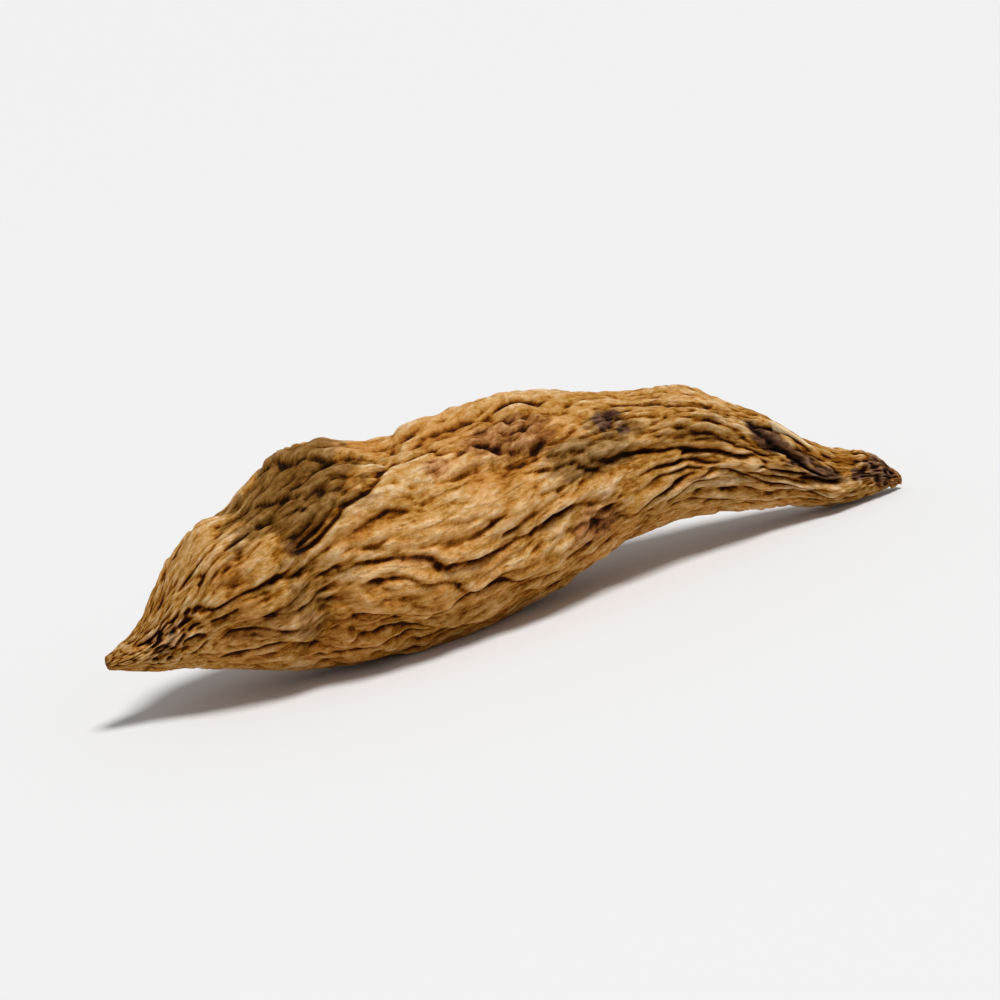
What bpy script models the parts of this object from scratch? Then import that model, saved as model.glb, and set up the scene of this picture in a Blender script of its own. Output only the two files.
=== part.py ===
"""A roasted ophiopogon tuber: one dried and wrinkled root tuber, lying on its belly.

The long axis is X, from the blunt end, where the tuber broke from its root, to the scorched
tail. The skin is a grid of rings set across that axis. Each ring is an oval read from a few
stations, and relief is added along its radius: the folds of dried skin, mounds and hollows,
creases, warts and pits. Angles run round the long axis in degrees, from 0 at the front (-Y)
over 90 at the top to 180 at the back. Lengths are millimetres until the mesh is made.
"""

import math

import bmesh
import bpy
import numpy as np
from mathutils import noise

MM = 0.001

# Driving sizes
LENGTH = 33.0
MID_RADIUS = 4.0        # radius of the thick part, which sets the scale of the folds
RINGS = 60
SIDES = 90
RING_CROWDING = 0.05    # rings lie closer at the two ends
LEAST_REACH = 0.4       # the skin never sinks deeper than to this part of its oval

# Each station: distance along, height of the centre, half height, half width, sideways bend
STATIONS = [
    (0.0, -0.05, 0.14, 0.16, 0.30),
    (1.0, 0.10, 0.52, 0.58, 0.25),
    (2.0, 0.42, 1.05, 1.10, 0.15),
    (3.0, 0.98, 1.80, 1.75, 0.05),
    (4.2, 1.48, 2.60, 2.55, -0.10),
    (6.0, 1.68, 3.08, 3.20, -0.25),
    (9.0, 2.24, 4.10, 3.95, -0.35),
    (12.0, 1.92, 4.08, 4.10, -0.20),
    (14.5, 1.97, 4.08, 3.95, 0.05),
    (17.5, 2.48, 3.92, 3.66, 0.30),
    (20.0, 2.76, 3.34, 3.22, 0.45),
    (22.5, 2.80, 2.72, 2.74, 0.50),
    (25.0, 2.58, 2.48, 2.25, 0.40),
    (27.5, 1.65, 1.98, 1.75, 0.25),
    (30.0, 0.40, 1.25, 1.10, 0.05),
    (32.0, 0.00, 0.66, 0.60, -0.10),
    (33.0, -0.40, 0.16, 0.14, -0.15),
]

# How the folds wind round the axis, in degrees a millimetre, steeply in the blunt half
STEEP_TWIST = 3.4
EASY_TWIST = 0.9
TWIST_EASES_AT = 11.5
TWIST_EASES_OVER = 3.0

# Each size of fold: length, width and height
BROAD_FOLDS = (13.0, 3.4, 0.42)
MAIN_FOLDS = (6.0, 1.35, 0.26)
MINOR_FOLDS = (2.6, 0.68, 0.15)
CROSS_WRINKLES = (0.9, 1.6, 0.08)
FULL_RIDGE = 0.37       # noise this strong, or stronger, is a whole ridge
SHARP_RIDGE = 0.15      # the same for the steep side of the small folds
RIDGE_POWER = 0.72      # below 1, so that the valleys are narrower than the ridges
MEAN_RIDGE = 0.63
THIN_POWER = 0.6        # how slowly the folds lose height as the tuber grows thin
THINNEST = 0.08         # the thinnest size, as a part of MID_RADIUS, that still counts

# What bends the folds and creases off their course: length, width, reach along, reach across
DRIFT = (5.0, 3.0, 1.5, 0.9)
RIPPLE = (1.5, 1.0, 0.5, 0.28)
STRAY = (1.1, 0.8, 0.30, 0.22)
STRAY_RADIUS = 0.5      # rings smaller than this stray no further than this one

# Areas of rough skin among smoother ones: length and width, and the range of their strength
ROUGH_AREAS = (4.0, 1.9)
ROUGH_RANGE = (0.45, 1.35)
ROUGH_NOISE = (-0.3, 0.35)

# Each mound, or hollow where the height is negative: along, degrees round, half length,
# half width, height
MOUNDS = [
    (5.2, 25, 1.9, 1.9, 0.25),
    (7.8, 0, 0.8, 3.2, -0.42),
    (8.8, 60, 2.6, 1.6, -0.34),
    (12.5, 18, 4.0, 1.7, 0.22),
    (17.0, 88, 3.0, 0.9, 0.28),
    (12.3, 92, 1.3, 1.8, -0.28),
    (17.6, 60, 1.3, 0.8, 0.16),
    (19.9, -4, 0.8, 0.8, 0.22),
    (24.8, 42, 2.2, 0.9, 0.16),
    (27.9, 60, 0.9, 0.5, 0.18),
    (29.6, -20, 1.6, 0.5, 0.16),
    (31.8, 50, 0.5, 0.5, 0.14),
    (0.4, 60, 0.3, 0.2, 0.08),
    (0.9, 140, 0.4, 0.35, 0.13),
    (1.3, 60, 0.5, 0.3, -0.10),
    (1.3, 330, 0.4, 0.35, 0.12),
    (1.6, 245, 0.6, 0.4, 0.16),
    (2.1, 200, 0.6, 0.3, -0.12),
    (7.6, 190, 0.9, 2.8, -0.35),
    (11.5, 150, 3.0, 1.5, 0.25),
    (16.5, 205, 2.6, 1.5, -0.25),
    (20.5, 165, 2.4, 1.2, 0.22),
    (23.0, 235, 1.8, 1.1, -0.20),
]

# Each crease: its path as (along, degrees round), depth, half width, and the step by which
# the skin above it stands over the skin below it
CREASES = [
    ([(7.6, 18), (6.2, 16), (5.1, 12), (4.0, 9), (3.2, 20), (2.4, 27), (1.6, 30), (0.9, 30)],
     0.42, 0.13, 0.10),
    ([(3.2, 48), (3.8, 38), (4.1, 33)], 0.18, 0.10, 0.0),
    ([(3.6, -2), (4.2, -4), (4.8, 1)], 0.25, 0.10, 0.05),
    ([(7.4, 20), (8.5, 28), (9.6, 37), (10.9, 48), (11.9, 59), (12.5, 70)], 0.62, 0.24, -0.20),
    ([(12.3, 66), (12.6, 80), (13.2, 98), (14.6, 118)], 0.30, 0.22, -0.06),
    ([(7.2, 26), (7.9, 32), (9.0, 40), (9.8, 47)], 0.42, 0.16, 0.0),
    ([(6.4, 116), (7.7, 100), (8.8, 83), (10.6, 75)], 0.42, 0.15, 0.12),
    ([(5.8, 82), (6.6, 76), (7.7, 62), (9.0, 54), (10.8, 60)], 0.30, 0.13, 0.08),
    ([(6.1, 57), (7.3, 50), (8.5, 45)], 0.25, 0.12, 0.06),
    ([(8.2, 0), (9.4, 3), (10.5, 4), (11.8, 2), (12.6, -6), (14.0, -6), (15.4, -4), (17.0, -4),
      (18.1, -2), (19.2, 3)],
     0.46, 0.17, 0.16),
    ([(8.6, -10), (10.4, -6), (12.2, -12), (13.5, -23), (15.2, -22), (17.2, -21)],
     0.32, 0.15, 0.10),
    ([(8.5, -23), (9.5, -30), (11.1, -32), (12.7, -28), (14.0, -25), (15.8, -30), (18.0, -33)],
     0.36, 0.17, 0.10),
    ([(8.9, -42), (11.2, -41), (13.6, -52), (16.0, -47)], 0.30, 0.17, 0.08),
    ([(12.6, 71), (14.6, 79), (16.2, 78), (17.7, 80), (19.4, 74)], 0.22, 0.13, 0.10),
    ([(13.2, 66), (14.0, 57), (15.3, 54), (16.5, 47)], 0.24, 0.14, 0.0),
    ([(9.3, 24), (11.2, 30), (13.0, 27), (14.8, 23)], 0.20, 0.12, 0.05),
    ([(10.9, 17), (12.7, 17), (14.8, 12), (16.4, 9)], 0.20, 0.12, 0.05),
    ([(15.8, 38), (17.4, 34), (18.7, 31), (20.0, 19), (21.6, 19), (23.2, 15), (24.7, 7),
      (26.2, 3)],
     0.24, 0.12, 0.10),
    ([(15.4, 34), (17.5, 25), (18.7, 22), (19.8, 14), (20.6, 8)], 0.28, 0.13, 0.06),
    ([(21.1, -13), (22.3, -8), (23.7, -7), (25.0, -13), (26.4, -27), (27.6, -31), (28.9, -29),
      (30.2, -16)],
     0.30, 0.14, 0.08),
    ([(22.3, -33), (23.5, -26), (24.9, -22)], 0.28, 0.15, 0.08),
    ([(23.5, 42), (24.7, 34), (26.2, 28), (27.1, 14)], 0.18, 0.12, 0.0),
    ([(26.6, 44), (27.4, 30), (28.2, 19), (29.0, 9), (29.9, -2)], 0.42, 0.30, 0.12),
    ([(27.1, 44), (27.8, 48), (28.6, 47), (29.4, 39)], 0.24, 0.12, 0.0),
    ([(28.4, -30), (29.6, -38), (31.0, -36)], 0.20, 0.10, 0.05),
]

# The parts of a crease's length by which it has opened, and after which it closes
CREASE_OPENS = 0.15
CREASE_CLOSES = 0.80

# The foot of a crease and the reach of its step, in half widths, and how steep its sides are
CREASE_FOOT = 2.0
CREASE_REACH = 4.0
CREASE_POWER = 1.5
PATH_STEPS = 3          # straight runs between two points of a path

# Each wart, or pit where the height is negative: along, degrees round, radius, height
WARTS = [
    (2.3, 6, 0.36, 0.24),
    (2.3, 6, 0.13, -0.14),
    (3.0, 12, 0.22, -0.14),
    (1.9, -8, 0.22, -0.12),
    (7.35, 24, 0.34, -0.34),
    (8.5, 3, 0.20, -0.16),
    (9.1, 7, 0.18, -0.14),
    (10.1, 9, 0.20, -0.16),
    (12.2, -4, 0.16, -0.14),
    (13.3, 46, 0.26, -0.20),
    (13.0, 52, 0.30, 0.14),
    (16.4, 60, 0.34, 0.16),
    (16.9, 50, 0.30, 0.16),
    (17.4, 56, 0.32, 0.14),
    (17.4, 44, 0.28, 0.13),
    (17.0, 66, 0.26, -0.14),
    (15.7, 52, 0.26, -0.14),
    (21.1, 45, 0.56, -0.24),
    (21.6, 39, 0.24, -0.16),
    (20.5, 54, 0.36, 0.12),
    (19.9, -3, 0.42, 0.16),
    (19.2, -19, 0.34, -0.20),
    (18.1, -14, 0.24, -0.14),
    (26.8, 42, 0.36, -0.26),
    (30.9, 15, 0.26, -0.16),
]

# Creases and warts that are scattered over the back and the underside
SCATTER_SEED = 11
BACK_DEGREES = (100, 320)
BACK_CREASES = 26
BACK_CREASE_SPAN = (2.5, 26.0)
BACK_CREASE_POINTS = (3, 7)
BACK_CREASE_LEAST = (0.25, 0.11, -0.12)     # depth, half width and step
BACK_CREASE_MOST = (0.50, 0.20, 0.14)
BACK_WARTS = 14
BACK_WART_SPAN = (3.5, 29.0)
BACK_WART_LEAST = (0.22, 0.10)              # radius and height
BACK_WART_MOST = (0.45, 0.18)
CREASE_STEP = 1.5       # distance along between the points of a scattered crease
CREASE_SWAY = 5         # degrees by which each point strays

# How it lies: the tail leans down until the weight is over the belly, which is worn flat there
LEAN = math.radians(3.3)
BELLY_X = 13.4
FLOOR_HEIGHT = -1.92
SMOOTH_X = 3.8          # the relief fades out within this distance of the flat spot
SMOOTH_ACROSS = 2.4
SMOOTHING = 0.9         # the part of the relief that is lost at the flat spot


def smooth_step(edge0, edge1, value):
    """Rise from 0 at edge0 to 1 at edge1 with no corner at either end."""
    t = np.clip((value - edge0) / (edge1 - edge0), 0.0, 1.0)
    return t * t * (3.0 - 2.0 * t)


def smooth_curve(knots, values, x):
    """Read a smooth curve through the knots at x, by cubic pieces."""
    knots = np.asarray(knots, float)
    values = np.asarray(values, float)
    slopes = np.gradient(values, knots)
    i = np.clip(np.searchsorted(knots, x, side="right") - 1, 0, len(knots) - 2)
    span = knots[i + 1] - knots[i]
    t = (x - knots[i]) / span
    start = (2 * t**3 - 3 * t**2 + 1) * values[i] + (t**3 - 2 * t**2 + t) * span * slopes[i]
    end = (3 * t**2 - 2 * t**3) * values[i + 1] + (t**3 - t**2) * span * slopes[i + 1]
    return start + end


def noise_at(points, cell, seed):
    """Perlin noise at the points, with cells of the given size; each seed gives another noise."""
    shifted = points / np.asarray(cell) + np.array([13.7, 5.3, 9.1]) * seed
    flat = shifted.reshape(-1, 3).tolist()
    return np.array([noise.noise(p) for p in flat]).reshape(points.shape[:-1])


def bending(points, bend, seed):
    """How far a bending noise moves each point, as vectors."""
    length, width, reach_along, reach_across = bend
    moves = [noise_at(points, (length, width, width), seed + k) for k in range(3)]
    return np.stack(moves, axis=-1) * np.array([reach_along, reach_across, reach_across])


def station_curves(x):
    """Centre height, half height, half width and sideways bend at each x."""
    table = np.array(STATIONS)
    return [smooth_curve(table[:, 0], table[:, column], x) for column in range(1, 5)]


def twist(x):
    """Angle in radians by which the folds have wound round the axis at x."""
    eased = TWIST_EASES_OVER * np.log1p(np.exp((x - TWIST_EASES_AT) / TWIST_EASES_OVER))
    return np.radians(STEEP_TWIST * x - (STEEP_TWIST - EASY_TWIST) * eased)


def flow_points(x, theta, radius):
    """Points on a tube round which the folds run straight, for the noise to be read at."""
    angle = theta - twist(x)
    reach = np.sqrt(radius * MID_RADIUS)
    return np.stack([x, reach * np.cos(angle), reach * np.sin(angle)], axis=-1)


def fold_height(points, folds, seed, steep=FULL_RIDGE):
    """Rounded ridges with narrow valleys between them, about a mean of 0."""
    length, width, height = folds
    field = noise_at(points, (length, width, width), seed)
    full = np.where(field > 0.0, steep, FULL_RIDGE)
    ridges = np.minimum(np.abs(field) / full, 1.0) ** RIDGE_POWER
    return height * (ridges - MEAN_RIDGE)


def roughness_of(flow):
    """How rough the skin is at each point: patches of strong and of weak wrinkles."""
    length, width = ROUGH_AREAS
    field = noise_at(flow, (length, width, width), 60)
    least, most = ROUGH_RANGE
    return least + (most - least) * smooth_step(*ROUGH_NOISE, field)


def skin_folds(flow, size):
    """Height of all the folds of dried skin; they shrink with the size of the ring."""
    drift = bending(flow, DRIFT, 1)
    ripple = bending(flow, RIPPLE, 4)
    rough = roughness_of(flow)
    height = fold_height(flow + drift, BROAD_FOLDS, 7)
    height += fold_height(flow + drift + ripple, MAIN_FOLDS, 8)
    height += rough * fold_height(flow + drift + ripple, MINOR_FOLDS, 9, SHARP_RIDGE)
    length, width, rise = CROSS_WRINKLES
    height += rise * noise_at(flow + ripple, (length, width, width), 10)
    return height * size**THIN_POWER


def wrapped(angle):
    """The same angle between -180 and 180 degrees, in radians."""
    return (angle + math.pi) % (2.0 * math.pi) - math.pi


def round_bumps(bumps, x, theta, radius):
    """Sum of smooth bumps, each given by its place, half length, half width and height."""
    total = np.zeros_like(x)
    for along, degrees, half_length, half_width, height in bumps:
        off_x = (x - along) / half_length
        off_across = wrapped(theta - math.radians(degrees)) * radius / half_width
        total += height * np.exp(-(off_x**2 + off_across**2))
    return total


def smooth_path(path, steps):
    """Points along a smooth curve through the path, in millimetres and radians."""
    points = np.array(path, float)
    index = np.arange(len(points))
    fine = np.linspace(0, len(points) - 1, (len(points) - 1) * steps + 1)
    along = smooth_curve(index, points[:, 0], fine)
    return np.stack([along, np.radians(smooth_curve(index, points[:, 1], fine))], axis=-1)


def crease_height(crease, x, theta, radius):
    """Height that one crease adds: a narrow valley, with its upper side lifted."""
    path, depth, half_width, step = crease
    points = smooth_path(path, PATH_STEPS)
    nearest = np.full_like(x, np.inf)
    above = np.zeros_like(x)
    part_way = np.zeros_like(x)
    runs = len(points) - 1
    for k in range(runs):
        run_x, run_angle = points[k + 1] - points[k]
        run_across = run_angle * radius
        off_x = x - points[k, 0]
        off_across = wrapped(theta - points[k, 1]) * radius
        t = (off_x * run_x + off_across * run_across) / (run_x**2 + run_across**2)
        t = np.clip(t, 0.0, 1.0)
        gap_across = off_across - t * run_across
        distance = np.hypot(off_x - t * run_x, gap_across)
        closer = distance < nearest
        nearest = np.where(closer, distance, nearest)
        above = np.where(closer, gap_across, above)
        part_way = np.where(closer, (k + t) / runs, part_way)
    strength = smooth_step(0.0, CREASE_OPENS, part_way) * smooth_step(1.0, CREASE_CLOSES, part_way)
    cut = -depth * np.maximum(1.0 - nearest / (CREASE_FOOT * half_width), 0.0) ** CREASE_POWER
    reach = CREASE_REACH * half_width
    lift = step * np.clip(above / half_width, -1.0, 1.0) * np.exp(-((nearest / reach) ** 2))
    return (cut + lift) * strength


def back_creases():
    """Creases that follow the folds over the back and the underside."""
    rng = np.random.default_rng(SCATTER_SEED)
    creases = []
    for _ in range(BACK_CREASES):
        along = rng.uniform(*BACK_CREASE_SPAN)
        degrees = rng.uniform(*BACK_DEGREES)
        path = []
        for _ in range(rng.integers(*BACK_CREASE_POINTS)):
            path.append((along, degrees + rng.uniform(-CREASE_SWAY, CREASE_SWAY)))
            onward = along + CREASE_STEP
            degrees += math.degrees(twist(onward) - twist(along))
            along = onward
        depth, half_width, step = rng.uniform(BACK_CREASE_LEAST, BACK_CREASE_MOST)
        creases.append((path, depth, half_width, step))
    return creases


def back_warts():
    """Small warts and pits over the back and the underside."""
    rng = np.random.default_rng(SCATTER_SEED + 1)
    warts = []
    for _ in range(BACK_WARTS):
        along, degrees = rng.uniform(*zip(BACK_WART_SPAN, BACK_DEGREES))
        across, rise = rng.uniform(BACK_WART_LEAST, BACK_WART_MOST)
        warts.append((along, degrees, across, rise * rng.choice((-1, 1))))
    return warts


def skin_height(x, theta, radius):
    """Everything that stands over the smooth oval rings, or is sunk into them."""
    size = np.clip(radius / MID_RADIUS, THINNEST, 1.0)
    flow = flow_points(x, theta, radius)
    stray = bending(flow, STRAY, 20)
    near_x = x + stray[..., 0]
    near_theta = theta + stray[..., 1] / np.maximum(radius, STRAY_RADIUS)
    height = skin_folds(flow, size) + round_bumps(MOUNDS, x, theta, radius)
    warts = [(along, degrees, across, across, rise)
             for along, degrees, across, rise in WARTS + back_warts()]
    height += round_bumps(warts, near_x, near_theta, radius)
    for crease in CREASES + back_creases():
        height += crease_height(crease, near_x, near_theta, radius)
    return height


def cell_height(x, theta, radius, rings, sides):
    """Height averaged over each cell of the grid, so that no crease falls between its points."""
    third_round = 2.0 * math.pi / sides / 3.0
    quarter_x = LENGTH / rings / 4.0
    shifts = [(0.0, 0.0), (0.0, -third_round), (0.0, third_round), (-quarter_x, 0.0),
              (quarter_x, 0.0)]
    return sum(skin_height(x + dx, theta + turn, radius) for dx, turn in shifts) / len(shifts)


def away_from_flat(x, theta, radius):
    """1 over most of the skin, falling towards 0 at the middle of the flat spot."""
    across = wrapped(theta + math.pi / 2.0) * radius
    nearness = np.exp(-((x - BELLY_X) / SMOOTH_X) ** 2 - (across / SMOOTH_ACROSS) ** 2)
    return 1.0 - SMOOTHING * nearness


def tuber_points(rings, sides):
    """The skin as a grid of points, one row for each ring, lying on the plane z = 0."""
    t = np.linspace(0.0, 1.0, rings + 2)[1:-1]
    along = LENGTH * (t - RING_CROWDING * np.sin(2.0 * math.pi * t))
    angles = np.linspace(0.0, 2.0 * math.pi, sides, endpoint=False)
    x, theta = np.meshgrid(along, angles, indexing="ij")
    theta = theta + twist(x)
    centre, half_height, half_width, bend = station_curves(x)
    radius = np.sqrt(half_height * half_width)
    oval = half_height * half_width / np.hypot(half_height * np.cos(theta),
                                               half_width * np.sin(theta))
    height = cell_height(x, theta, radius, rings, sides) * away_from_flat(x, theta, radius)
    reach = np.maximum(oval + height, LEAST_REACH * oval)
    y = bend - reach * np.cos(theta)
    z = centre + reach * np.sin(theta) - math.tan(LEAN) * (x - BELLY_X) - FLOOR_HEIGHT
    return np.stack([x, y, np.maximum(z, 0.0)], axis=-1)


def tuber_mesh(name, rings, sides):
    """Join the rings into one closed mesh, with a point at each end."""
    grid = tuber_points(rings, sides)
    tips = np.array([grid[0].mean(axis=0), grid[-1].mean(axis=0)])
    tips[:, 0] = (0.0, LENGTH)
    middle = np.array([LENGTH / 2.0, (grid[..., 1].min() + grid[..., 1].max()) / 2.0, 0.0])
    bm = bmesh.new()
    rows = [[bm.verts.new((point - middle) * MM) for point in row] for row in grid]
    blunt, tail = (bm.verts.new((point - middle) * MM) for point in tips)
    for row, following in zip(rows, rows[1:]):
        for j in range(sides):
            k = (j + 1) % sides
            bm.faces.new((row[j], following[j], following[k], row[k]))
    for j in range(sides):
        k = (j + 1) % sides
        bm.faces.new((blunt, rows[0][j], rows[0][k]))
        bm.faces.new((tail, rows[-1][k], rows[-1][j]))
    bmesh.ops.triangulate(bm, faces=bm.faces[:])
    bmesh.ops.recalc_face_normals(bm, faces=bm.faces[:])
    mesh = bpy.data.meshes.new(name)
    bm.to_mesh(mesh)
    bm.free()
    mesh.shade_smooth()
    return mesh


def skin_material():
    """Roasted skin: plain ochre brown with a dull sheen."""
    material = bpy.data.materials.new("root_skin")
    material.use_nodes = True
    shader = material.node_tree.nodes["Principled BSDF"]
    shader.inputs["Base Color"].default_value = (0.418, 0.202, 0.055, 1.0)
    shader.inputs["Roughness"].default_value = 0.6
    shader.inputs["Metallic"].default_value = 0.0
    return material


def main():
    for old in list(bpy.data.objects):
        bpy.data.objects.remove(old)
    tuber = bpy.data.objects.new("tuber", tuber_mesh("tuber", RINGS, SIDES))
    tuber.data.materials.append(skin_material())
    bpy.context.collection.objects.link(tuber)


main()
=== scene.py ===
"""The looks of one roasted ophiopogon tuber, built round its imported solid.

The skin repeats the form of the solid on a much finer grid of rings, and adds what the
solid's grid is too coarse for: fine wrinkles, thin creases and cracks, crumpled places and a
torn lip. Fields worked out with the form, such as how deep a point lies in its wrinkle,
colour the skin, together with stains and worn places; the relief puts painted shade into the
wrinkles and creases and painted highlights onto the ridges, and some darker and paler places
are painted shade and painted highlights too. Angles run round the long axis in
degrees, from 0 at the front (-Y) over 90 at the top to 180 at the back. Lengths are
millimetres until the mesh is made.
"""

import math

import bpy
import numpy as np
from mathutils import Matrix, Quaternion, Vector, noise


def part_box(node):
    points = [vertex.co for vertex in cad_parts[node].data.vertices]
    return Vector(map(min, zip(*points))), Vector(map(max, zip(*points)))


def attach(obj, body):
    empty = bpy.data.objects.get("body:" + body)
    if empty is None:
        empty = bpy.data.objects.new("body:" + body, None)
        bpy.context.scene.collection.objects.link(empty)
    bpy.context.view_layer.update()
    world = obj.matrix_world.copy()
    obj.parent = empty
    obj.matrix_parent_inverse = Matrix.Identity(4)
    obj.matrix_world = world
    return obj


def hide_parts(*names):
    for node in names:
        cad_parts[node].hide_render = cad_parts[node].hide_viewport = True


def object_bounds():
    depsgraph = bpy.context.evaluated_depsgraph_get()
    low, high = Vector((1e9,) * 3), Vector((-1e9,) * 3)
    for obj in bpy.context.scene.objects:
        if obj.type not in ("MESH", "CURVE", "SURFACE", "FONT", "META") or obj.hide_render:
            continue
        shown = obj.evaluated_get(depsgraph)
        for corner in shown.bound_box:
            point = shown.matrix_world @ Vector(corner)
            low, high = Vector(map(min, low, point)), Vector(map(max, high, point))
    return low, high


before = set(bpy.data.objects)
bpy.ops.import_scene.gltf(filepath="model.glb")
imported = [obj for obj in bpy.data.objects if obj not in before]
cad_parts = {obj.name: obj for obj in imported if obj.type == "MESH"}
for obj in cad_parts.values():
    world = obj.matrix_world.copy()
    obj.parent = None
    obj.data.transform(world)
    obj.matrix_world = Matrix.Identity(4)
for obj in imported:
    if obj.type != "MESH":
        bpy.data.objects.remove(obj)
cad_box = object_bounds()

MM = 0.001

# The form, as in the solid
LENGTH = 33.0
MID_RADIUS = 4.0        # radius of the thick part, which sets the scale of the folds
RING_CROWDING = 0.05    # rings lie closer at the two ends
LEAST_REACH = 0.4       # the skin never sinks deeper than to this part of its oval

# The grid of the skin, much finer than the solid's
RINGS = 284
SIDES = 350

# Each station: distance along, height of the centre, half height, half width, sideways bend
STATIONS = [
    (0.0, -0.05, 0.14, 0.16, 0.30),
    (1.0, 0.10, 0.52, 0.58, 0.25),
    (2.0, 0.42, 1.05, 1.10, 0.15),
    (3.0, 0.98, 1.80, 1.75, 0.05),
    (4.2, 1.48, 2.60, 2.55, -0.10),
    (6.0, 1.68, 3.08, 3.20, -0.25),
    (9.0, 2.24, 4.10, 3.95, -0.35),
    (12.0, 1.92, 4.08, 4.10, -0.20),
    (14.5, 1.97, 4.08, 3.95, 0.05),
    (17.5, 2.48, 3.92, 3.66, 0.30),
    (20.0, 2.76, 3.34, 3.22, 0.45),
    (22.5, 2.80, 2.72, 2.74, 0.50),
    (25.0, 2.58, 2.48, 2.25, 0.40),
    (27.5, 1.65, 1.98, 1.75, 0.25),
    (30.0, 0.40, 1.25, 1.10, 0.05),
    (32.0, 0.00, 0.66, 0.60, -0.10),
    (33.0, -0.40, 0.16, 0.14, -0.15),
]

# How the folds wind round the axis, in degrees a millimetre, steeply in the blunt half
STEEP_TWIST = 3.4
EASY_TWIST = 0.9
TWIST_EASES_AT = 11.5
TWIST_EASES_OVER = 3.0

# Each size of fold: length, width, height and the seed of its noise
BROAD_FOLDS = (13.0, 3.4, 0.42, 7)
MAIN_FOLDS = (6.0, 1.35, 0.26, 8)
MINOR_FOLDS = (2.6, 0.68, 0.15, 9)
CROSS_WRINKLES = (0.9, 1.6, 0.08, 10)
FULL_RIDGE = 0.37       # noise this strong, or stronger, is a whole ridge
SHARP_RIDGE = 0.15      # the same for the steep side of the small folds
RIDGE_POWER = 0.72      # below 1, so that the valleys are narrower than the ridges
MEAN_RIDGE = 0.63       # mean height of the ridges, as a part of a whole one
THIN_POWER = 0.6        # how slowly the folds lose height as the tuber grows thin
THINNEST = 0.08         # the thinnest size, as a part of MID_RADIUS, that still counts

# What bends the folds and creases off their course: length, width, reach along, reach across
# and the first of the three seeds of its noises
DRIFT = (5.0, 3.0, 1.5, 0.9, 1)
RIPPLE = (1.5, 1.0, 0.5, 0.28, 4)
STRAY = (1.1, 0.8, 0.30, 0.22, 20)
STRAY_RADIUS = 0.5      # rings smaller than this stray no further than this one
SEED_SHIFT = (13.7, 5.3, 9.1)   # what each seed moves the noise by, in cells

# Each mound, or hollow where the height is negative: along, degrees round, half length,
# half width, height
MOUNDS = [
    (5.2, 25, 1.9, 1.9, 0.25),
    (7.8, 0, 0.8, 3.2, -0.42),
    (8.8, 60, 2.6, 1.6, -0.34),
    (12.5, 18, 4.0, 1.7, 0.22),
    (17.0, 88, 3.0, 0.9, 0.28),
    (12.3, 92, 1.3, 1.8, -0.28),
    (17.6, 60, 1.3, 0.8, 0.16),
    (19.9, -4, 0.8, 0.8, 0.22),
    (24.8, 42, 2.2, 0.9, 0.16),
    (27.9, 60, 0.9, 0.5, 0.18),
    (29.6, -20, 1.6, 0.5, 0.16),
    (31.8, 50, 0.5, 0.5, 0.14),
    (0.4, 60, 0.3, 0.2, 0.08),
    (0.9, 140, 0.4, 0.35, 0.13),
    (1.3, 60, 0.5, 0.3, -0.10),
    (1.3, 330, 0.4, 0.35, 0.12),
    (1.6, 245, 0.6, 0.4, 0.16),
    (2.1, 200, 0.6, 0.3, -0.12),
    (7.6, 190, 0.9, 2.8, -0.35),
    (11.5, 150, 3.0, 1.5, 0.25),
    (16.5, 205, 2.6, 1.5, -0.25),
    (20.5, 165, 2.4, 1.2, 0.22),
    (23.0, 235, 1.8, 1.1, -0.20),
]

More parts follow.
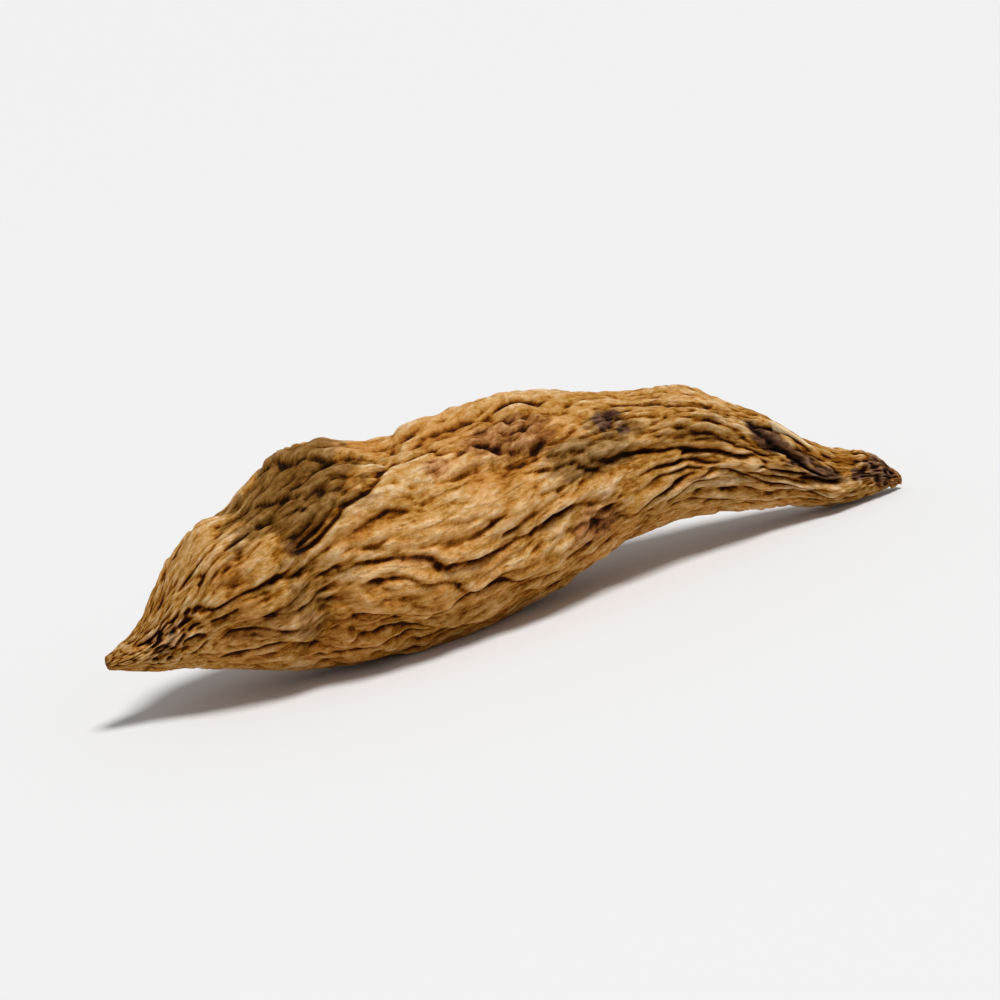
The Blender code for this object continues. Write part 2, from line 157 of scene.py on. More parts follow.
# Each crease: its path as (along, degrees round), depth, half width, and the step by which
# the skin above it stands over the skin below it
CREASES = [
    ([(7.6, 18), (6.2, 16), (5.1, 12), (4.0, 9), (3.2, 20), (2.4, 27), (1.6, 30), (0.9, 30)],
     0.42, 0.13, 0.10),
    ([(3.2, 48), (3.8, 38), (4.1, 33)], 0.18, 0.10, 0.0),
    ([(3.6, -2), (4.2, -4), (4.8, 1)], 0.25, 0.10, 0.05),
    ([(7.4, 20), (8.5, 28), (9.6, 37), (10.9, 48), (11.9, 59), (12.5, 70)], 0.62, 0.24, -0.20),
    ([(12.3, 66), (12.6, 80), (13.2, 98), (14.6, 118)], 0.30, 0.22, -0.06),
    ([(7.2, 26), (7.9, 32), (9.0, 40), (9.8, 47)], 0.42, 0.16, 0.0),
    ([(6.4, 116), (7.7, 100), (8.8, 83), (10.6, 75)], 0.42, 0.15, 0.12),
    ([(5.8, 82), (6.6, 76), (7.7, 62), (9.0, 54), (10.8, 60)], 0.30, 0.13, 0.08),
    ([(6.1, 57), (7.3, 50), (8.5, 45)], 0.25, 0.12, 0.06),
    ([(8.2, 0), (9.4, 3), (10.5, 4), (11.8, 2), (12.6, -6), (14.0, -6), (15.4, -4), (17.0, -4),
      (18.1, -2), (19.2, 3)],
     0.46, 0.17, 0.16),
    ([(8.6, -10), (10.4, -6), (12.2, -12), (13.5, -23), (15.2, -22), (17.2, -21)],
     0.32, 0.15, 0.10),
    ([(8.5, -23), (9.5, -30), (11.1, -32), (12.7, -28), (14.0, -25), (15.8, -30), (18.0, -33)],
     0.36, 0.17, 0.10),
    ([(8.9, -42), (11.2, -41), (13.6, -52), (16.0, -47)], 0.30, 0.17, 0.08),
    ([(12.6, 71), (14.6, 79), (16.2, 78), (17.7, 80), (19.4, 74)], 0.22, 0.13, 0.10),
    ([(13.2, 66), (14.0, 57), (15.3, 54), (16.5, 47)], 0.24, 0.14, 0.0),
    ([(9.3, 24), (11.2, 30), (13.0, 27), (14.8, 23)], 0.20, 0.12, 0.05),
    ([(10.9, 17), (12.7, 17), (14.8, 12), (16.4, 9)], 0.20, 0.12, 0.05),
    ([(15.8, 38), (17.4, 34), (18.7, 31), (20.0, 19), (21.6, 19), (23.2, 15), (24.7, 7),
      (26.2, 3)],
     0.24, 0.12, 0.10),
    ([(15.4, 34), (17.5, 25), (18.7, 22), (19.8, 14), (20.6, 8)], 0.28, 0.13, 0.06),
    ([(21.1, -13), (22.3, -8), (23.7, -7), (25.0, -13), (26.4, -27), (27.6, -31), (28.9, -29),
      (30.2, -16)],
     0.30, 0.14, 0.08),
    ([(22.3, -33), (23.5, -26), (24.9, -22)], 0.28, 0.15, 0.08),
    ([(23.5, 42), (24.7, 34), (26.2, 28), (27.1, 14)], 0.18, 0.12, 0.0),
    ([(26.6, 44), (27.4, 30), (28.2, 19), (29.0, 9), (29.9, -2)], 0.42, 0.30, 0.12),
    ([(27.1, 44), (27.8, 48), (28.6, 47), (29.4, 39)], 0.24, 0.12, 0.0),
    ([(28.4, -30), (29.6, -38), (31.0, -36)], 0.20, 0.10, 0.05),
]

# Creases are this much narrower and shallower here than in the solid, whose grid is coarser
CREASE_NARROWING = 0.56
CREASE_SHALLOWING = 0.8
NARROWEST_CREASE = 0.07

# Where creases are open or nearly closed: length, width, the noise at which they are most
# closed and most open, and its seed. Then the range of their strength.
UNEVEN_AREAS = (1.9, 0.9, -0.25, 0.25, 55)
UNEVEN_RANGE = (0.65, 1.15)

# The parts of a crease's length by which it has opened, and after which it closes
CREASE_OPENS = 0.15
CREASE_CLOSES = 0.80

# The dark middle of a crease, its foot and the reach of its step, in half widths, and how
# steep its sides are
CREASE_MIDDLE = 1.2
CREASE_FOOT = 2.0
CREASE_REACH = 5.5
CREASE_POWER = 1.5
PATH_STEPS = 3          # straight runs between two points of a path

# A crease is worked out this far beyond its ends, and this many of its half widths further
CREASE_MARGIN = 0.6
CREASE_SPREAD = 9.0

# Each wart, or pit where the height is negative: along, degrees round, radius, height
WARTS = [
    (2.3, 6, 0.36, 0.24),
    (2.3, 6, 0.13, -0.14),
    (3.0, 12, 0.22, -0.14),
    (1.9, -8, 0.22, -0.12),
    (7.35, 24, 0.34, -0.34),
    (8.5, 3, 0.20, -0.16),
    (9.1, 7, 0.18, -0.14),
    (10.1, 9, 0.20, -0.16),
    (12.2, -4, 0.16, -0.14),
    (13.3, 46, 0.26, -0.20),
    (13.0, 52, 0.30, 0.14),
    (16.4, 60, 0.34, 0.16),
    (16.9, 50, 0.30, 0.16),
    (17.4, 56, 0.32, 0.14),
    (17.4, 44, 0.28, 0.13),
    (17.0, 66, 0.26, -0.14),
    (15.7, 52, 0.26, -0.14),
    (21.1, 45, 0.56, -0.24),
    (21.6, 39, 0.24, -0.16),
    (20.5, 54, 0.36, 0.12),
    (19.9, -3, 0.42, 0.16),
    (19.2, -19, 0.34, -0.20),
    (18.1, -14, 0.24, -0.14),
    (26.8, 42, 0.36, -0.26),
    (30.9, 15, 0.26, -0.16),
]

# Creases and warts that are scattered over the back and the underside
SCATTER_SEED = 11
BACK_DEGREES = (100, 320)
BACK_CREASES = 26
BACK_CREASE_SPAN = (2.5, 26.0)
BACK_CREASE_POINTS = (3, 7)                 # at least 3 and fewer than 7
BACK_CREASE_LEAST = (0.25, 0.11, -0.12)     # depth, half width and step
BACK_CREASE_MOST = (0.50, 0.20, 0.14)
BACK_WARTS = 14
BACK_WART_SPAN = (3.5, 29.0)
BACK_WART_LEAST = (0.22, 0.10)              # radius and height
BACK_WART_MOST = (0.45, 0.18)
CREASE_STEP = 1.5       # distance along between the points of a scattered crease
CREASE_SWAY = 5         # degrees by which each point strays

# How it lies: the tail leans down until the weight is over the belly, which is worn flat there
LEAN = math.radians(3.3)
BELLY_X = 13.4
FLOOR_HEIGHT = -1.92    # the floor as it stands to the long axis at BELLY_X
SMOOTH_X = 3.8          # the relief fades out within this distance of the flat spot
SMOOTH_ACROSS = 2.4
SMOOTHING = 0.9         # the part of the relief that is lost at the flat spot

# Areas of rough skin among smoother ones, given as the uneven areas are, and the range of
# strength that they give to the small folds and to the fine wrinkles
ROUGH_AREAS = (4.0, 1.9, -0.3, 0.35, 60)
ROUGH_RANGE = (0.45, 1.35)
FINE_ROUGH_RANGE = (0.75, 1.3)

# Wrinkles too fine for the solid, given as its folds are, and what bends them
FINE_FOLDS = (1.3, 0.38, 0.14, 33)
HAIR_FOLDS = (0.8, 0.25, 0.08, 34)
GRAIN = (0.34, 0.24, 0.07, 36)
QUIVER = (0.7, 0.5, 0.22, 0.12, 30)
FINE_THIN_POWER = 0.2   # how slowly they lose height as the tuber grows thin

# Creases too thin for the solid, given as its creases are
THIN_CREASES = [
    ([(24.6, -32), (26.0, -40), (27.6, -44), (29.2, -42), (30.4, -36)], 0.44, 0.24, 0.10),
    ([(22.4, -40), (24.0, -44), (25.6, -52), (27.0, -56)], 0.36, 0.22, 0.08),
    ([(25.8, -16), (27.2, -20), (28.6, -18), (29.6, -12)], 0.34, 0.20, 0.08),
    ([(26.4, -3), (27.8, -9), (29.2, -8), (30.6, 0)], 0.34, 0.20, 0.08),
    ([(23.2, 14), (24.6, 9), (25.9, 6), (27.2, 8)], 0.40, 0.22, 0.10),
    ([(21.0, -1), (22.4, 3), (23.8, 1), (25.2, -4)], 0.32, 0.18, 0.06),
    ([(20.2, -26), (21.6, -24), (23.0, -17), (24.2, -14)], 0.30, 0.18, 0.06),
    ([(5.2, -6), (6.4, -10), (7.4, -12)], 0.16, 0.13, 0.03),
    ([(4.2, -18), (5.6, -22), (7.0, -26)], 0.20, 0.14, 0.05),
    ([(19.6, 62), (21.8, 66), (24.0, 62), (26.0, 58)], 0.20, 0.14, 0.05),
    ([(22.8, 34), (24.2, 28), (25.6, 20), (26.8, 16)], 0.20, 0.14, 0.04),
]

# Fine cracks scattered over all of the skin
CRACK_SEED = 23
CRACKS = 130
CRACK_SPAN = (1.5, 31.0)
CRACK_POINTS = (2, 5)                       # at least 2 and fewer than 5
CRACK_LEAST = (0.10, 0.08, -0.04)           # depth, half width and step
CRACK_MOST = (0.26, 0.14, 0.06)
CRACK_STEP = (0.45, 0.95)                   # distance along between the points of a crack
CRACK_SWAY = 3.0                            # degrees by which each point strays

# Short curled wrinkles, given as the folds are, what bends them, and how far the noise is
# from 0 at their foot
CURLS = (0.75, 0.50, 0.32, 43)
CURL_BEND = (0.6, 0.5, 0.35, 0.35, 40)
CURL_FOOT = 0.22

# Where the skin is crumpled into them, given as the stains are
CRUMPLED = [
    (16.7, 53, 1.9, 1.1, 1.0),
    (21.1, 45, 0.9, 0.8, 1.0),
    (2.5, 6, 1.0, 0.8, 1.0),
    (19.5, -15, 1.2, 1.0, 0.9),
    (13.3, 48, 0.6, 0.5, 0.8),
    (8.2, -6, 1.1, 0.9, 0.6),
    (31.9, 20, 1.0, 1.4, 0.7),
    (28.4, 18, 1.5, 0.7, 0.7),
    (12.0, 170, 1.6, 1.0, 0.8),
    (21.0, 200, 1.2, 0.9, 0.8),
    (17.0, 262, 1.8, 1.0, 0.6),
]

# Torn lips of skin, given as creases are, and how far up a lip its paleness, a pale torn edge
# painted brighter as a highlight, starts and is full
LIPS = [
    ([(27.6, 50), (28.1, 52), (28.7, 53), (29.5, 47)], -0.18, 0.27, 0.0),
]
LIP_PALENESS = (0.2, 0.7)

# Where the skin is stained, darker or worn, with painted shade among the darker places and
# painted highlights among the worn and pale ones: each field as a list of along, degrees round,
# half length, half width and strength
STAINS = {
    "dark": [
        (0.0, 0, 0.6, 1.0, 1.0),
        # Painted shade over the blunt lobe
        (4.0, 5, 3.4, 3.0, 0.85),
        (8.0, 70, 3.0, 2.6, 0.7),
        (30.0, 30, 3.6, 2.4, 0.9),
        (32.9, 0, 1.4, 2.0, 1.0),
        (24.0, -5, 4.6, 2.6, 0.5),
        # Painted shade along the lower flank
        (18.5, -45, 5.0, 2.0, 0.9),
        (11.0, -56, 6.5, 2.6, 1.0),
        (16.7, 53, 1.8, 1.0, 0.7),
        (7.5, 33, 1.0, 0.9, 1.3),
        (5.0, 190, 3.0, 2.0, 0.5),
        (26.0, 200, 4.0, 1.5, 0.5),
    ],
    "worn": [
        (4.4, 48, 1.8, 1.4, 0.7),
        # Narrow streaks along the lip of the middle crack and along the top ridge: painted
        # highlights
        (9.0, -3, 1.3, 0.25, 1.0),
        (10.9, -1, 1.4, 0.25, 1.0),
        (13.8, 99, 1.6, 0.5, 1.0),
        (16.6, 100, 1.7, 0.5, 1.0),
        (19.0, 93, 1.2, 0.4, 0.8),
        (13.2, 26, 2.6, 1.6, 0.35),
        # Narrow streaks along ridges of the tail: painted highlights
        (24.4, -26, 2.0, 0.28, 1.0),
        (27.9, -22, 1.4, 0.24, 1.0),
        (29.9, -11, 1.1, 0.24, 0.8),
        (15.0, 170, 3.0, 0.9, 0.5),
        (22.0, 110, 3.2, 0.5, 0.6),
    ],
    "olive": [
        (8.2, 74, 3.0, 2.2, 1.0),
        (8.2, 46, 2.0, 1.0, 0.9),
        (7.2, -12, 0.9, 2.6, 0.6),
        (19.6, 24, 2.3, 0.9, 0.9),
        (24.0, 44, 3.0, 1.2, 0.25),
        (24.0, 22, 1.6, 0.5, 0.5),
        (25.0, 0, 5.0, 3.0, 0.38),
        (21.1, 43, 1.3, 1.0, 0.75),
        (29.5, -10, 3.0, 1.3, 0.35),
        (13.0, -40, 3.2, 0.7, 0.4),
        (9.5, 165, 2.4, 1.6, 0.8),
        (19.5, 225, 3.0, 1.0, 0.6),
        (25.5, 180, 1.6, 0.9, 0.6),
    ],
    "russet": [
        (16.7, 53, 2.0, 1.1, 0.85),
        (19.2, -19, 1.3, 0.8, 0.9),
        (13.3, 47, 0.55, 0.45, 1.0),
        (20.0, -2, 0.7, 0.8, 0.5),
        (2.3, 6, 0.7, 0.5, 0.7),
        (11.5, 2, 1.3, 0.3, 0.6),
        (6.0, -22, 1.6, 1.2, 0.5),
        (4.8, 20, 1.0, 0.6, 0.3),
        (14.0, 190, 1.8, 1.0, 0.5),
        (22.5, 140, 1.2, 0.8, 0.5),
        (26.8, 250, 1.5, 0.8, 0.6),
        (32.2, 20, 0.9, 1.4, 0.8),
    ],
    "scorch": [
        (7.3, 26, 0.5, 0.35, 0.6),
        (26.9, 41, 0.6, 0.46, 1.0),
        (27.6, 29, 0.7, 0.58, 0.8),
        (28.4, 17, 0.8, 0.60, 0.75),
        (29.3, 5, 0.8, 0.42, 0.8),
        (20.75, 47, 0.42, 0.48, 1.0),
        (21.4, 55, 0.48, 0.26, 0.9),
        (21.4, 38, 0.40, 0.28, 0.9),
        (21.1, 45, 0.85, 0.7, 0.35),
        (31.9, 28, 0.7, 0.9, 0.7),
        (30.9, 14, 0.4, 0.3, 0.9),
        (3.0, 200, 0.8, 0.9, 0.6),
        (18.5, 178, 0.9, 0.3, 0.45),
    ],
    "pale": [
        # A painted highlight along the ridge beside the tail's lip
        (30.6, 77, 0.55, 0.15, 0.5),
        (2.3, 8, 0.22, 0.16, 0.5),
        (24.3, 150, 0.9, 0.12, 0.3),
    ],
}
WORN_SMOOTHING = 0.6    # the part of the fine wrinkles that is lost where skin is worn

# The ragged edges of stains, as noises of the given length, width, height and seed, and how
# many half sizes from its middle a stain ends and is full
RAGGED_EDGES = [(1.6, 0.7, 0.45, 50), (0.5, 0.25, 0.35, 51)]
STAIN_EDGE = (1.3, 0.6)

# How far the relief is softened, and how far a point is compared with its surroundings, in
# cells along and around
SOFTENING = (0.65, 0.8)
FINE_REACH = (1.1, 1.7)
NEAR_REACH = (2.2, 3.6)
WIDE_REACH = (8.0, 13.0)
BLUR_SPAN = 3           # an average takes in this many times its reach on either side

# The folds are lower where the tuber is thin, and the relief that colours it, as painted shade
# in the valleys and painted highlights on the ridges, makes up for that
RELIEF_THINNEST = 0.2
RELIEF_THIN_POWER = 0.8

# Colours of the skin as seen on a screen, at their tones from 0, dark, to 1, pale
OCHRE = [
    (0.00, (44, 16, 1)),
    (0.16, (98, 46, 1)),
    (0.36, (144, 86, 12)),
    (0.56, (184, 131, 58)),
    (0.78, (209, 164, 106)),
    (1.00, (232, 200, 156)),
]
ORANGE = [
    (0.00, (44, 16, 1)),
    (0.30, (128, 68, 5)),
    (0.60, (188, 125, 52)),
    (1.00, (228, 180, 118)),
]
OLIVE = [
    (0.00, (30, 14, 1)),
    (0.30, (78, 45, 4)),
    (0.60, (118, 79, 30)),
    (1.00, (164, 122, 70)),
]
RUSSET = [
    (0.00, (22, 7, 3)),
    (0.30, (76, 36, 18)),
    (0.60, (140, 84, 42)),
    (1.00, (206, 148, 96)),
]
BURNT = [
    (0.00, (20, 8, 5)),
    (0.30, (56, 31, 19)),
    (0.60, (94, 63, 46)),
    (1.00, (146, 112, 88)),
]
# The near-white of the pale marks and of the torn lip: partly their own pale colour, partly
# painted highlights
PALE_AND_HIGHLIGHT = (246, 218, 172)
PALE_AND_HIGHLIGHT_COVER = 0.9

# The stains that recolour the skin, one over the other: field, greatest cover and colours
STAIN_COLOURS = [("olive", 0.85, OLIVE), ("russet", 0.7, RUSSET), ("scorch", 0.95, BURNT)]

# The tone of the skin before its relief and its noises are added
BASE_TONE = -0.68

# Valleys are darkened below the second of these reliefs, and fully so below the first: painted
# shade over the skin's own darker brown there
FINE_VALLEY_DARK_AND_SHADE = (-0.065, -0.014)
BROAD_VALLEY_DARK_AND_SHADE = (-0.13, -0.03)

# Creases are darkened deeper than the first of these, and fully so deeper than the second:
# painted shade over the skin's own darker brown there
CREASE_DARK_AND_SHADE = (0.10, 0.50)

# Warm patches: the noise at which they start and are full, how much orange they take, and how
# far the olive stains hold it back
WARM_RANGE = (0.76, 0.92)
WARM_COVER = 0.75
OLIVE_COOLING = -0.4

# A stain shows from the first of these strengths and is full at the second, once the mottle
# is added to it
BLOT_RANGE = (0.56, 1.30)
BLOT_MOTTLE = 0.8

BUMP_HEIGHT = 0.22              # of the finest grain, which only the shading carries
ROUGHNESS_TONES = (0.2, 0.9)    # the tones of dark and of pale skin, and the roughness there
ROUGHNESS = (0.72, 0.50)
GLOSS = 0.06

# The studio: strengths of the light, width of the lamp in degrees and its place over the
# tuber in metres, which gives its direction
SURROUND_STRENGTH = 0.33
LAMP_STRENGTH = 2.6
LAMP_WIDTH = 20.0
LAMP_PLACE = (0.05, -0.09, 0.24)
FLOOR_SIZE = 4.0
FLOOR_SHADE = 0.82
FLOOR_ROUGHNESS = 0.9
FLOOR_GLOSS = 0.1

# The camera: degrees round from the front, up and rolled, lens in millimetres, and its
# distance and the nearest that it sees in metres
CAMERA_AZIMUTH = -18.0
CAMERA_ELEVATION = 14.0
CAMERA_ROLL = -12.6
CAMERA_LENS = 180.0
CAMERA_DISTANCE = 0.192
CAMERA_NEAREST = 0.01


def smooth_step(edge0, edge1, value):
    """Rise from 0 at edge0 to 1 at edge1 with no corner at either end."""
    t = np.clip((value - edge0) / (edge1 - edge0), 0.0, 1.0)
    return t * t * (3.0 - 2.0 * t)


def smooth_curve(knots, values, x):
    """Read a smooth curve through the knots at x, by cubic pieces."""
    knots = np.asarray(knots, float)
    values = np.asarray(values, float)
    slopes = np.gradient(values, knots)
    i = np.clip(np.searchsorted(knots, x, side="right") - 1, 0, len(knots) - 2)
    span = knots[i + 1] - knots[i]
    t = (x - knots[i]) / span
    start = (2 * t**3 - 3 * t**2 + 1) * values[i] + (t**3 - 2 * t**2 + t) * span * slopes[i]
    end = (3 * t**2 - 2 * t**3) * values[i + 1] + (t**3 - t**2) * span * slopes[i + 1]
    return start + end


def noise_at(points, length, width, seed):
    """Perlin noise at the points, with cells this long and wide; each seed gives another."""
    shifted = points / np.array([length, width, width]) + np.array(SEED_SHIFT) * seed
    flat = shifted.reshape(-1, 3).tolist()
    return np.array([noise.noise(p) for p in flat]).reshape(points.shape[:-1])


def relief_noise(points, kind):
    """Noise of the given length, width, height and seed."""
    length, width, height, seed = kind
    return height * noise_at(points, length, width, seed)


def bending(points, bend):
    """How far a bending noise moves each point, as vectors."""
    length, width, reach_along, reach_across, seed = bend
    moves = [noise_at(points, length, width, seed + k) for k in range(3)]
    return np.stack(moves, axis=-1) * np.array([reach_along, reach_across, reach_across])


def station_curves(x):
    """Centre height, half height, half width and sideways bend at each x."""
    table = np.array(STATIONS)
    return [smooth_curve(table[:, 0], table[:, column], x) for column in range(1, 5)]


def twist(x):
    """Angle in radians by which the folds have wound round the axis at x."""
    eased = TWIST_EASES_OVER * np.log1p(np.exp((x - TWIST_EASES_AT) / TWIST_EASES_OVER))
    return np.radians(STEEP_TWIST * x - (STEEP_TWIST - EASY_TWIST) * eased)


def flow_points(x, theta, radius):
    """Points on a tube round which the folds run straight, for the noise to be read at."""
    angle = theta - twist(x)
    reach = np.sqrt(radius * MID_RADIUS)
    return np.stack([x, reach * np.cos(angle), reach * np.sin(angle)], axis=-1)


def fold_height(points, folds, steep=FULL_RIDGE):
    """Rounded ridges with narrow valleys between them, about a mean of 0."""
    length, width, height, seed = folds
    field = noise_at(points, length, width, seed)
    full = np.where(field > 0.0, steep, FULL_RIDGE)
    ridges = np.minimum(np.abs(field) / full, 1.0) ** RIDGE_POWER
    return height * (ridges - MEAN_RIDGE)


def patches(flow, areas, strengths):
    """A strength for each point, which is high in some areas and low in others."""
    length, width, low_noise, high_noise, seed = areas
    field = noise_at(flow, length, width, seed)
    least, most = strengths
    return least + (most - least) * smooth_step(low_noise, high_noise, field)


def skin_folds(flow, drift, ripple, size):
    """Height of all the folds of dried skin; they shrink with the size of the ring."""
    rough = patches(flow, ROUGH_AREAS, ROUGH_RANGE)
    height = fold_height(flow + drift, BROAD_FOLDS)
    height += fold_height(flow + drift + ripple, MAIN_FOLDS)
    height += rough * fold_height(flow + drift + ripple, MINOR_FOLDS, SHARP_RIDGE)
    height += relief_noise(flow + ripple, CROSS_WRINKLES)
    return height * size**THIN_POWER


def fine_folds(flow, drift, ripple, size):
    """Wrinkles a few tenths of a millimetre apart, which follow the folds."""
    bent = flow + drift + ripple + bending(flow, QUIVER)
    height = fold_height(bent, FINE_FOLDS, SHARP_RIDGE)
    height += fold_height(bent, HAIR_FOLDS, SHARP_RIDGE)
    height += relief_noise(bent, GRAIN)
    return height * patches(flow, ROUGH_AREAS, FINE_ROUGH_RANGE) * size**FINE_THIN_POWER


def wrapped(angle):
    """The same angle in radians, brought between -pi and pi."""
    return (angle + math.pi) % (2.0 * math.pi) - math.pi


def round_bumps(bumps, x, theta, radius):
    """Sum of smooth bumps, each given by its place, half length, half width and height."""
    total = np.zeros_like(x)
    for along, degrees, half_length, half_width, height in bumps:
        off_x = (x - along) / half_length
        off_across = wrapped(theta - math.radians(degrees)) * radius / half_width
        total += height * np.exp(-(off_x**2 + off_across**2))
    return total


def smooth_path(path, steps):
    """Points along a smooth curve through the path, in millimetres and radians."""
    points = np.array(path, float)
    index = np.arange(len(points))
    fine = np.linspace(0, len(points) - 1, (len(points) - 1) * steps + 1)
    along = smooth_curve(index, points[:, 0], fine)
    return np.stack([along, np.radians(smooth_curve(index, points[:, 1], fine))], axis=-1)


def crease_relief(crease, x, theta, radius):
    """Height that one crease adds, with its upper side lifted, and how deep in it points are."""
    path, depth, half_width, step = crease
    half_width = max(half_width * CREASE_NARROWING, NARROWEST_CREASE)
    depth = depth * CREASE_SHALLOWING
    points = smooth_path(path, PATH_STEPS)
    nearest = np.full_like(x, np.inf)
    above = np.zeros_like(x)
    part_way = np.zeros_like(x)
    runs = len(points) - 1
    for k in range(runs):
        run_x, run_angle = points[k + 1] - points[k]
        run_across = run_angle * radius
        off_x = x - points[k, 0]
        off_across = wrapped(theta - points[k, 1]) * radius
        t = (off_x * run_x + off_across * run_across) / (run_x**2 + run_across**2)
        t = np.clip(t, 0.0, 1.0)
        gap_across = off_across - t * run_across
        distance = np.hypot(off_x - t * run_x, gap_across)
        closer = distance < nearest
        nearest = np.where(closer, distance, nearest)
        above = np.where(closer, gap_across, above)
        part_way = np.where(closer, (k + t) / runs, part_way)
    strength = smooth_step(0.0, CREASE_OPENS, part_way) * smooth_step(1.0, CREASE_CLOSES, part_way)
    cut = -depth * np.maximum(1.0 - nearest / (CREASE_FOOT * half_width), 0.0) ** CREASE_POWER
    reach = CREASE_REACH * half_width
    lift = step * np.clip(above / half_width, -1.0, 1.0) * np.exp(-((nearest / reach) ** 2))
    depths = strength * np.maximum(1.0 - nearest / (CREASE_MIDDLE * half_width), 0.0)
    return (cut + lift) * strength, depths


def creased(creases, x, theta, radius):
    """The height that all the creases add, and how deep in one of them each point is."""
    height = np.zeros_like(x)
    depths = np.zeros_like(x)
    rings = x.mean(axis=1)
    for crease in creases:
        path, _, half_width, _ = crease
        reach = CREASE_MARGIN + CREASE_SPREAD * half_width
        places = [along for along, _ in path]
        first, last = np.searchsorted(rings, (min(places) - reach, max(places) + reach))
        part = slice(first, last)
        rise, depth = crease_relief(crease, x[part], theta[part], radius[part])
        height[part] += rise
        depths[part] = np.maximum(depths[part], depth)
    return height, depths


def back_creases():
    """Creases that follow the folds over the back and the underside."""
    rng = np.random.default_rng(SCATTER_SEED)
    creases = []
    for _ in range(BACK_CREASES):
        along = rng.uniform(*BACK_CREASE_SPAN)
        degrees = rng.uniform(*BACK_DEGREES)
        path = []
        for _ in range(rng.integers(*BACK_CREASE_POINTS)):
            path.append((along, degrees + rng.uniform(-CREASE_SWAY, CREASE_SWAY)))
            onward = along + CREASE_STEP
            degrees += math.degrees(twist(onward) - twist(along))
            along = onward
        depth, half_width, step = rng.uniform(BACK_CREASE_LEAST, BACK_CREASE_MOST)
        creases.append((path, depth, half_width, step))
    return creases


def fine_cracks():
    """Short thin cracks, which follow the folds all round."""
    rng = np.random.default_rng(CRACK_SEED)
    cracks = []
    for _ in range(CRACKS):
        along, degrees = rng.uniform(*zip(CRACK_SPAN, (0.0, 360.0)))
        path = []
        for _ in range(rng.integers(*CRACK_POINTS)):
            path.append((along, degrees + rng.uniform(-CRACK_SWAY, CRACK_SWAY)))
            onward = along + rng.uniform(*CRACK_STEP)
            degrees += math.degrees(twist(onward) - twist(along))
            along = onward
        depth, half_width, step = rng.uniform(CRACK_LEAST, CRACK_MOST)
        cracks.append((path, depth, half_width, step))
    return cracks


def back_warts():
    """Small warts and pits over the back and the underside."""
    rng = np.random.default_rng(SCATTER_SEED + 1)
    warts = []
    for _ in range(BACK_WARTS):
        along, degrees = rng.uniform(*zip(BACK_WART_SPAN, BACK_DEGREES))
        across, rise = rng.uniform(BACK_WART_LEAST, BACK_WART_MOST)
        warts.append((along, degrees, across, rise * rng.choice((-1, 1))))
    return warts


def stain(places, ragged, x, theta, radius):
    """How strongly each point is stained, from 0 to 1, in blots with these ragged edges."""
    total = np.zeros_like(x)
    for along, degrees, half_length, half_width, strength in places:
        off_x = (x - along) / half_length
        off_across = wrapped(theta - math.radians(degrees)) * radius / half_width
        spread = np.hypot(off_x, off_across) + ragged
        total = np.maximum(total, strength * smooth_step(*STAIN_EDGE, spread))
    return total


def curls(flow):
    """Short curled wrinkles, half of their height up and half down."""
    length, width, rise, seed = CURLS
    field = noise_at(flow + bending(flow, CURL_BEND), length, width, seed)
    return rise * (1.0 - np.minimum(np.abs(field) / CURL_FOOT, 1.0) - 0.5)


def skin_height(flow, ragged, worn, x, theta, radius):
    """What stands over the smooth oval rings or is sunk into them, creases and lips."""
    size = np.clip(radius / MID_RADIUS, THINNEST, 1.0)
    drift, ripple, stray = (bending(flow, bend) for bend in (DRIFT, RIPPLE, STRAY))
    near_x = x + stray[..., 0]
    near_theta = theta + stray[..., 1] / np.maximum(radius, STRAY_RADIUS)
    height = skin_folds(flow, drift, ripple, size) + round_bumps(MOUNDS, x, theta, radius)
    warts = [(along, degrees, across, across, rise)
             for along, degrees, across, rise in WARTS + back_warts()]
    height += round_bumps(warts, near_x, near_theta, radius)
    creases = CREASES + THIN_CREASES + back_creases() + fine_cracks()
    crease_height, crease_depth = creased(creases, near_x, near_theta, radius)
    uneven = patches(flow, UNEVEN_AREAS, UNEVEN_RANGE)
    crease_depth *= uneven
    height += uneven * crease_height
    height += fine_folds(flow, drift, ripple, size) * (1.0 - WORN_SMOOTHING * worn)
    height += curls(flow) * stain(CRUMPLED, ragged, x, theta, radius)
    lip_height, lips = creased(LIPS, near_x, near_theta, radius)
    height = blurred(height + lip_height, SOFTENING)
    return height, blurred(crease_depth, SOFTENING), lips


def away_from_flat(x, theta, radius):
    """1 over most of the skin, falling towards 0 at the middle of the flat spot."""
    across = wrapped(theta + math.pi / 2.0) * radius
    nearness = np.exp(-((x - BELLY_X) / SMOOTH_X) ** 2 - (across / SMOOTH_ACROSS) ** 2)
    return 1.0 - SMOOTHING * nearness


def blurred(field, reach):
    """The field averaged over its surroundings, by cells along and around."""
    for axis, cells in enumerate(reach):
        span = int(math.ceil(BLUR_SPAN * cells))
        offsets = np.arange(-span, span + 1)
        weights = np.exp(-0.5 * (offsets / cells) ** 2)
        weights /= weights.sum()
        widths = [(0, 0), (0, 0)]
        widths[axis] = (span, span)
        padded = np.pad(field, widths, mode="edge" if axis == 0 else "wrap")
        count = field.shape[axis]
        total = np.zeros_like(field)
        for offset, weight in zip(offsets, weights):
            part = slice(span + offset, span + offset + count)
            total += weight * (padded[part] if axis == 0 else padded[:, part])
        field = total
    return field


